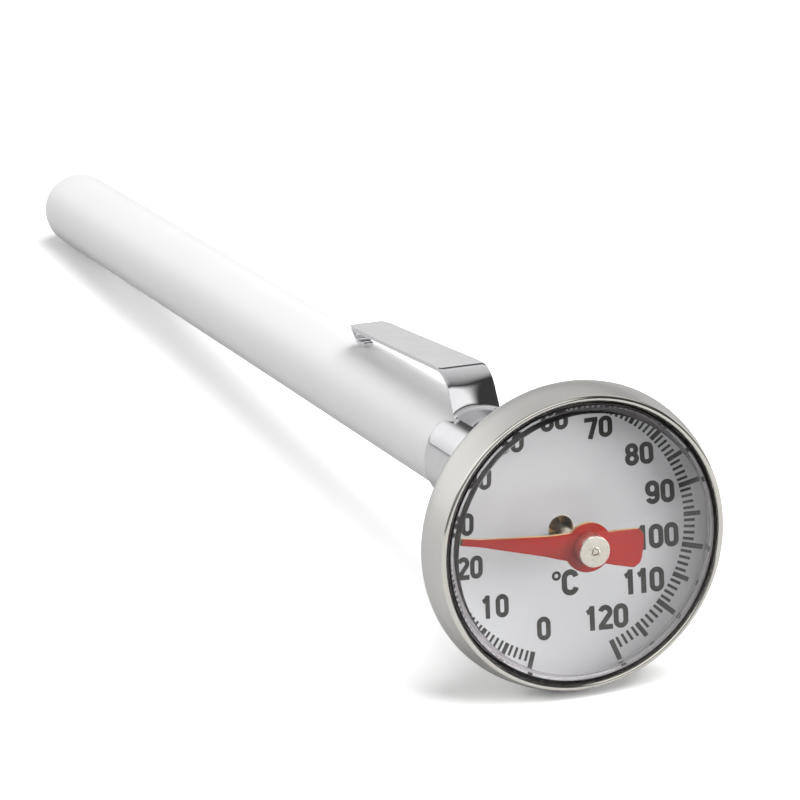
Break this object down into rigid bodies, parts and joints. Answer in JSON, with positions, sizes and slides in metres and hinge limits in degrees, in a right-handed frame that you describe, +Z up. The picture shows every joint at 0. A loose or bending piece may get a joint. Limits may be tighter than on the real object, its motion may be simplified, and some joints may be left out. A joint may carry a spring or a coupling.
{
  "type": "dial thermometer",
  "caption": "Pocket dial thermometer: a domed crystal and pointer dial on a thin bimetal stem, inside a white slip-on sheath with a spring pocket clip.",
  "frame": {"origin": "centre of the bounding box's base: the object lies on the rim of its case and the end of its sheath", "axes": "+Y from the dial towards the tip of the sheath, +Z up through the pocket clip, +X to the reader's right"},
  "size_m": [0.0278, 0.1562, 0.0277],
  "materials": {
    "satin_steel": "satin, turned rim polished",
    "chrome_clip": "polished",
    "brass": "machined",
    "pale_nickel": "nickel plated, satin",
    "bimetal": "rolled strip",
    "dial_silver": "satin anodised, printed scale",
    "black_rubber": "matt",
    "clear_acrylic": "clear moulded acrylic, polished",
    "red_enamel": "satin enamel",
    "white_plastic": "satin gloss"
  },
  "bodies": {
    "head": {"case_shell": "satin_steel", "crystal": "clear_acrylic", "crystal_gasket": "black_rubber", "dial_spacer_ring": "satin_steel", "dial_plate": "dial_silver", "dial_seat_ring": "satin_steel", "case_seal": "black_rubber"},
    "stem": {"stem_tube": "satin_steel", "stem_collar": "brass", "friction_washer": "satin_steel", "calibration_nut": "satin_steel", "upper_bush": "brass", "middle_bush": "brass", "coil_anchor": "brass", "tip_plug": "satin_steel"},
    "movement": {"pointer": "red_enamel", "pointer_hub": "pale_nickel", "spindle": "satin_steel", "coil_collar": "brass", "bimetal_coil": "bimetal"},
    "sheath": {"sheath_tube": "white_plastic"},
    "clip": {"pocket_clip": "chrome_clip"}
  },
  "joints": [
    {"name": "calibration_turn", "type": "hinge", "parent": "head", "child": "stem", "pos_m": [0, -0.07358, 0.01405], "axis": [0, 0.9982, -0.0591], "continuous": true},
    {"name": "pointer_turn", "type": "hinge", "parent": "stem", "child": "movement", "pos_m": [0, -0.07358, 0.01405], "axis": [0, 0.9982, -0.0591], "range_deg": [-84, 238.5]},
    {"name": "sheath_pull", "type": "slide", "parent": "stem", "child": "sheath", "axis": [-0.0118, 0.9972, -0.0744], "range_m": [0, 0.132]},
    {"name": "clip_turn", "type": "hinge", "parent": "sheath", "child": "clip", "pos_m": [0.0009, -0.07351, 0.01524], "axis": [-0.0118, 0.9972, -0.0744], "continuous": true}
  ]
}
